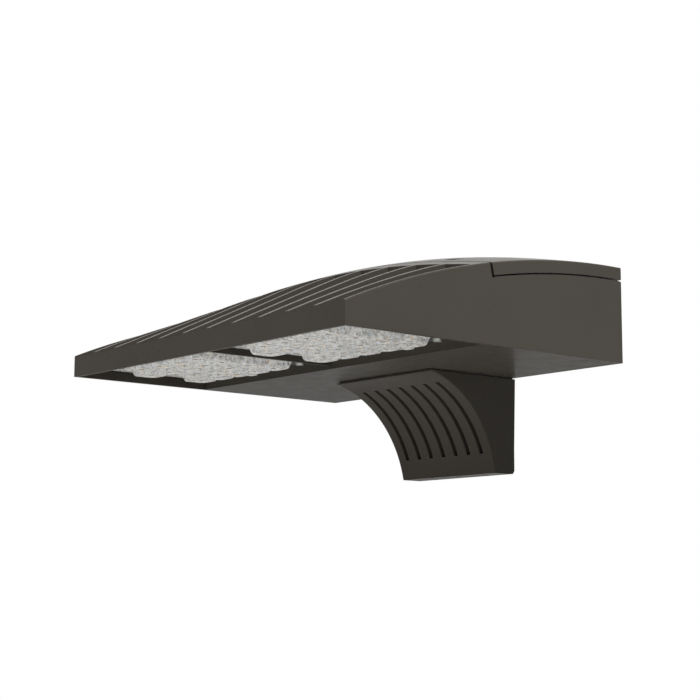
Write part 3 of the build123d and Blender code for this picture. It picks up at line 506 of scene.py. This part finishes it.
def makeJacket():
    finish = jacketFinish
    material, tree, shader, coords = startMaterial("leadJacket", finish)
    grain = noiseOf(tree, coords, finish["grainScale"], detail=3.0)
    roughBetween(tree, shader, grain, finish["grainRough"])
    bumpOf(tree, shader, grain, finish["grainBump"])
    return material


# Grey painted metal case of the driver, drawn along its length
driverFinish = {
    "colour": (0.42, 0.43, 0.44),
    "rough": 0.5,
    "metal": 0.3,
    "drawStretch": (0.04, 1.0, 1.0),
    "drawScale": 900.0,
    "tints": ((0.38, 0.39, 0.40), (0.46, 0.47, 0.48)),
    "drawRough": (0.44, 0.58),
    "drawBump": (0.06, 0.0001),
    "edge": 0.0005,
}


def makeDriverCase():
    finish = driverFinish
    material, tree, shader, coords = startMaterial("driverCase", finish)
    along = stretched(tree, coords, finish["drawStretch"])
    drawn = noiseOf(tree, along, finish["drawScale"], detail=3.0)
    roughBetween(tree, shader, drawn, finish["drawRough"])
    tintBetween(tree, shader, drawn, finish["tints"])
    bumpOf(tree, shader, drawn, finish["drawBump"], softEdges(tree, finish["edge"]))
    return material


# Black moulded case of the surge protector
surgeFinish = {
    "colour": (0.022, 0.022, 0.024),
    "rough": 0.6,
    "grainScale": 1300.0,
    "grainSpan": (0.0, 0.8),
    "grainRough": (0.5, 0.68),
    "grainBump": (0.2, 0.0001),
    "edge": 0.0005,
}


def makeSurgeCase():
    finish = surgeFinish
    material, tree, shader, coords = startMaterial("surgeCase", finish)
    grain = cellsOf(tree, coords, finish["grainScale"]).outputs["Distance"]
    roughBetween(tree, shader, grain, finish["grainRough"], finish["grainSpan"])
    bumpOf(tree, shader, grain, finish["grainBump"], softEdges(tree, finish["edge"]))
    return material


# A material for each slot of the record, and foam for the wall gasket
rubber = makeRubber()
phosphor = makePhosphor()
acrylic = makeAcrylic()
foam = makeFoam()
ceramic = makeCeramic()
paintedGlimpse = makePaintedGlimpse()
slotFinish = {
    "castings": makeBronze(),
    "gaskets": rubber,
    "steel": makeScrewSteel(),
    "green_steel": makeGreenSteel(),
    "zinc_plate": makeZinc(),
    "thermal_pads": makePad(),
    "boards": makeSolderMask(),
    "emitters": phosphor,
    "lenses": acrylic,
    "connectors": makeNylon(),
    "lead_jackets": makeJacket(),
    "driver_case": makeDriverCase(),
    "surge_case": makeSurgeCase(),
}
print("materials made")

slotOf = {entry["node"]: entry["material_slot"] for entry in frame["record"]["subparts"]}
for nodeName, nodeObject in nodes.items():
    finish = foam if nodeName == "wall_gasket" else slotFinish[slotOf[nodeName]]
    nodeObject.data.materials.clear()
    nodeObject.data.materials.append(finish)
print("nodes dressed")


# A finished bmesh becomes an object at the origin. It rides on the luminaire and replaces its node
def finishPiece(bm, name, materials, replacedNode, smoothAngle):
    mesh = bpy.data.meshes.new(name)
    bm.to_mesh(mesh)
    bm.free()
    for material in materials:
        mesh.materials.append(material)
    piece = bpy.data.objects.new(name, mesh)
    bpy.context.scene.collection.objects.link(piece)
    mesh.shade_smooth()
    mesh.set_sharp_from_angle(angle=math.radians(smoothAngle))
    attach(piece, "luminaire")
    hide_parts(replacedNode)


# Lens arrays: a clear sheet with a square block hanging down over each emitter. A block slopes in
# at its sides, and has a bowl with a dome at its lower end and a pocket over the emitter (metres)
lensArray = {
    "pitch": 0.025,
    "columns": 5,
    "rows": 4,
    "bare": ((0, 0), (0, 2)),  # places with no block, as column and row
    "towardsRib": 0.0035,
    "forward": 0.005,
    "sheetTop": 0.0487,
    "sheetBottom": 0.0472,
    "blockEnd": 0.0410,
    # Grid lines of one block, out from its middle
    "lines": (
        0.0, 0.0013, 0.0026, 0.0039, 0.0052, 0.0064,
        0.0076, 0.0088, 0.0100, 0.0109, 0.0118, 0.0125,
    ),
    "slopeStart": 0.0100,
    "slopeEnd": 0.0124,
    "slopePower": 1.5,
    "corner": 7.0,  # squareness of the block, where 2 is round
    "bowlRadius": 0.0082,
    "bowlDepth": 0.0019,
    "domeRadius": 0.0052,
    "domeHeight": 0.0017,
    "domeShift": 0.0010,
    "pocketRadius": 0.0045,
    "pocketDepth": 0.0030,
    # painted see-through spot of the emitter, on faces this near a block's middle
    "paintedGlimpseReach": 0.0021,
    "paintedGlimpseMaterial": 1,
    # painted shade on the flange behind the tiles, drawn with the rubber finish
    "paintedFlangeShadeMaterial": 2,
    "weld": 0.00001,
    "nearRim": 0.00005,
    "smoothAngle": 40.0,
}


def blockHeight(x, y):
    corner = lensArray["corner"]
    reach = (abs(x) ** corner + abs(y) ** corner) ** (1.0 / corner)
    if reach > lensArray["slopeEnd"]:
        return lensArray["sheetBottom"]
    if reach > lensArray["slopeStart"]:
        slope = lensArray["slopeEnd"] - lensArray["slopeStart"]
        share = (reach - lensArray["slopeStart"]) / slope
        drop = lensArray["sheetBottom"] - lensArray["blockEnd"]
        return lensArray["blockEnd"] + drop * share ** lensArray["slopePower"]
    height = lensArray["blockEnd"]
    away = math.hypot(x, y)
    if away < lensArray["bowlRadius"]:
        height += lensArray["bowlDepth"] * math.sqrt(1.0 - (away / lensArray["bowlRadius"]) ** 2)
    away = math.hypot(x, y - lensArray["domeShift"])
    if away < lensArray["domeRadius"]:
        height -= lensArray["domeHeight"] * (1.0 - (away / lensArray["domeRadius"]) ** 2)
    return height


def pocketHeight(x, y):
    away = math.hypot(x, y) / lensArray["pocketRadius"]
    if away >= 1.0:
        return lensArray["sheetTop"]
    return lensArray["sheetTop"] - lensArray["pocketDepth"] * math.sqrt(1.0 - away * away)


def tileCentres(side, nodeName):
    low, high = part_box(nodeName)
    middleX = (low[0] + high[0]) / 2 - side * lensArray["towardsRib"]
    middleY = (low[1] + high[1]) / 2 - lensArray["forward"]
    for column in range(lensArray["columns"]):
        for row in range(lensArray["rows"]):
            centre = (
                middleX + (column - (lensArray["columns"] - 1) / 2) * lensArray["pitch"],
                middleY + (row - (lensArray["rows"] - 1) / 2) * lensArray["pitch"],
            )
            yield centre, (column, row) in lensArray["bare"]


# A square grid over one tile place, with its points moved to the tile's own lines and heights
def addTileSurface(bm, centreX, centreY, heightAt):
    lines = [-line for line in reversed(lensArray["lines"][1:])] + list(lensArray["lines"])
    segments = len(lines) - 1
    half = segments / 2
    cell = bmesh.ops.create_grid(bm, x_segments=segments, y_segments=segments, size=half)
    for vertex in cell["verts"]:
        x = lines[round(vertex.co.x + half)]
        y = lines[round(vertex.co.y + half)]
        vertex.co = (centreX + x, centreY + y, heightAt(x, y))
    return {face for vertex in cell["verts"] for face in vertex.link_faces}


# Both rims of the tile grid are drawn out to the edge of the sheet and joined
def addFlange(bm, low, high):
    rim = [edge for edge in bm.edges if edge.is_boundary]
    ends = [vertex.co for edge in rim for vertex in edge.verts]
    inner = [
        (min(end[axis] for end in ends), max(end[axis] for end in ends))
        for axis in (0, 1)
    ]
    drawn = bmesh.ops.extrude_edge_only(bm, edges=rim)
    for vertex in (item for item in drawn["geom"] if isinstance(item, bmesh.types.BMVert)):
        for axis in (0, 1):
            if abs(vertex.co[axis] - inner[axis][0]) < lensArray["nearRim"]:
                vertex.co[axis] = low[axis]
            elif abs(vertex.co[axis] - inner[axis][1]) < lensArray["nearRim"]:
                vertex.co[axis] = high[axis]
    bmesh.ops.bridge_loops(bm, edges=[edge for edge in bm.edges if edge.is_boundary])
    return inner[1][1]  # the rear end of the tile grid


def makeLensArray(side, nodeName):
    low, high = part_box(nodeName)
    bm = bmesh.new()
    for (centreX, centreY), bare in tileCentres(side, nodeName):
        if bare:
            addTileSurface(bm, centreX, centreY, lambda x, y: lensArray["sheetTop"])
            addTileSurface(bm, centreX, centreY, lambda x, y: lensArray["sheetBottom"])
            continue
        addTileSurface(bm, centreX, centreY, pocketHeight)
        for face in addTileSurface(bm, centreX, centreY, blockHeight):
            middle = face.calc_center_median()
            away = math.hypot(middle.x - centreX, middle.y - centreY - lensArray["domeShift"])
            # Painted see-through spot: faces near the block's middle get the dark amber finish
            if away < lensArray["paintedGlimpseReach"]:
                face.material_index = lensArray["paintedGlimpseMaterial"]
    bmesh.ops.remove_doubles(bm, verts=bm.verts, dist=lensArray["weld"])
    gridRear = addFlange(bm, low, high)
    bmesh.ops.recalc_face_normals(bm, faces=bm.faces)
    # Painted shade: the clear flange behind the tiles gets the dark rubber finish, so it reads dark
    # there
    for face in bm.faces:
        if face.calc_center_median().y > gridRear:
            face.material_index = lensArray["paintedFlangeShadeMaterial"]
    return bm


sides = {"left": -1, "right": 1}
for sideName, side in sides.items():
    arrayNode = "lens_array_" + sideName
    # Finishes of the lens array: acrylic, the painted see-through spot, and rubber as painted shade
    # on the flange
    finishPiece(makeLensArray(side, arrayNode), "lensArray_" + sideName,
                [acrylic, paintedGlimpse, rubber], arrayNode, lensArray["smoothAngle"])
print("lens arrays made")

# Emitters: a ceramic tile with a phosphor dome, over each lens block
emitter = {
    "half": 0.00175,
    "base": 0.0004,
    "edge": 0.00008,
    "edgeSegments": 2,
    "domeRadius": 0.0014,
    "domeRise": 0.0004,
    "domeSegments": 16,
    "domeRings": 8,
    "domeMaterial": 1,
    "boardFace": 0.0487,
    "smoothAngle": 35.0,
}


def makeEmitters(side, nodeName):
    bm = bmesh.new()
    baseSize = Matrix.Diagonal((2 * emitter["half"], 2 * emitter["half"], emitter["base"], 1.0))
    domeShape = Matrix.Diagonal((1.0, 1.0, emitter["domeRise"] / emitter["domeRadius"], 1.0))
    for (centreX, centreY), bare in tileCentres(side, nodeName):
        if bare:
            continue
        centre = Vector((centreX, centreY, emitter["boardFace"]))
        basePlace = Matrix.Translation(centre - Vector((0, 0, emitter["base"] / 2)))
        tile = bmesh.ops.create_cube(bm, size=1.0, matrix=basePlace @ baseSize)
        edges = {edge for vertex in tile["verts"] for edge in vertex.link_edges}
        bmesh.ops.bevel(bm, geom=list(edges), offset=emitter["edge"],
                        segments=emitter["edgeSegments"], profile=0.5, affect="EDGES", material=-1)
        domePlace = Matrix.Translation(centre - Vector((0, 0, emitter["base"])))
        dome = bmesh.ops.create_uvsphere(
            bm, u_segments=emitter["domeSegments"], v_segments=emitter["domeRings"],
            radius=emitter["domeRadius"], matrix=domePlace @ domeShape)
        for face in {face for vertex in dome["verts"] for face in vertex.link_faces}:
            face.material_index = emitter["domeMaterial"]
    return bm


for sideName, side in sides.items():
    finishPiece(makeEmitters(side, "lens_array_" + sideName), "emitters_" + sideName,
                [ceramic, phosphor], "led_emitters_" + sideName, emitter["smoothAngle"])
print("emitters made")

# Pale paper floor, well below the light
floorFinish = {
    "middle": (0.0, -0.15, -0.8),
    "radius": 9.0,
    "segments": 96,
    "colour": (0.80, 0.80, 0.79),
    "rough": 0.9,
    "paperScale": 30.0,
    "paperBump": (0.02, 0.001),
}


def makeFloor():
    bm = bmesh.new()
    bmesh.ops.create_circle(bm, cap_ends=True, segments=floorFinish["segments"],
                            radius=floorFinish["radius"],
                            matrix=Matrix.Translation(floorFinish["middle"]))
    mesh = bpy.data.meshes.new("studioFloor")
    bm.to_mesh(mesh)
    bm.free()
    floor = bpy.data.objects.new("studioFloor", mesh)
    bpy.context.scene.collection.objects.link(floor)
    material, tree, shader, coords = startMaterial("floorPaper", floorFinish)
    bumpOf(tree, shader, noiseOf(tree, coords, floorFinish["paperScale"]), floorFinish["paperBump"])
    mesh.materials.append(material)


makeFloor()

# Soft lamps, in metres and watts: the key is high on the right, the others are weak fills
lamps = {
    "keyRight": {
        "place": (1.7, -0.5, 2.3), "aim": (0.1, -0.15, 0.08), "size": (1.0, 1.0), "power": 138.0,
    },
    "frontSoft": {
        "place": (-0.2, -2.6, 1.2), "aim": (0.0, -0.2, 0.05), "size": (1.6, 1.2), "power": 27.0,
    },
    "topSoft": {
        "place": (-0.2, 0.3, 2.2), "aim": (0.0, -0.1, 0.1), "size": (1.6, 1.6), "power": 5.0,
    },
    "underSoft": {
        "place": (-0.5, -1.5, -0.7), "aim": (0.0, -0.2, 0.04), "size": (1.2, 0.8), "power": 6.0,
    },
}


def makeLamps():
    for lampName, lamp in lamps.items():
        light = bpy.data.lights.new(lampName, "AREA")
        light.shape = "RECTANGLE"
        light.size, light.size_y = lamp["size"]
        light.energy = lamp["power"]
        lampObject = bpy.data.objects.new(lampName, light)
        bpy.context.scene.collection.objects.link(lampObject)
        lampObject.location = lamp["place"]
        direction = Vector(lamp["aim"]) - Vector(lamp["place"])
        lampObject.rotation_euler = direction.to_track_quat("-Z", "Y").to_euler()


makeLamps()

# The camera, gloss and clear pieces see a white backdrop, and everything else a dim one
surround = {"ambient": (0.06, 0.06, 0.06), "backdrop": (1.0, 1.0, 1.0)}


def makeWorld():
    world = bpy.data.worlds.new("studio")
    bpy.context.scene.world = world
    world.use_nodes = True
    tree = world.node_tree
    tree.nodes.clear()
    output = tree.nodes.new("ShaderNodeOutputWorld")
    mixed = tree.nodes.new("ShaderNodeMixShader")
    for socket, key in ((1, "ambient"), (2, "backdrop")):
        background = tree.nodes.new("ShaderNodeBackground")
        background.inputs["Color"].default_value = (*surround[key], 1.0)
        tree.links.new(background.outputs[0], mixed.inputs[socket])
    path = tree.nodes.new("ShaderNodeLightPath")
    seen = path.outputs["Is Camera Ray"]
    for kind in ("Is Glossy Ray", "Is Transmission Ray"):
        either = tree.nodes.new("ShaderNodeMath")
        either.operation = "MAXIMUM"
        tree.links.new(seen, either.inputs[0])
        tree.links.new(path.outputs[kind], either.inputs[1])
        seen = either.outputs[0]
    tree.links.new(seen, mixed.inputs[0])
    tree.links.new(mixed.outputs[0], output.inputs["Surface"])


makeWorld()
bpy.context.scene.view_settings.view_transform = "Standard"
print("stage lit")
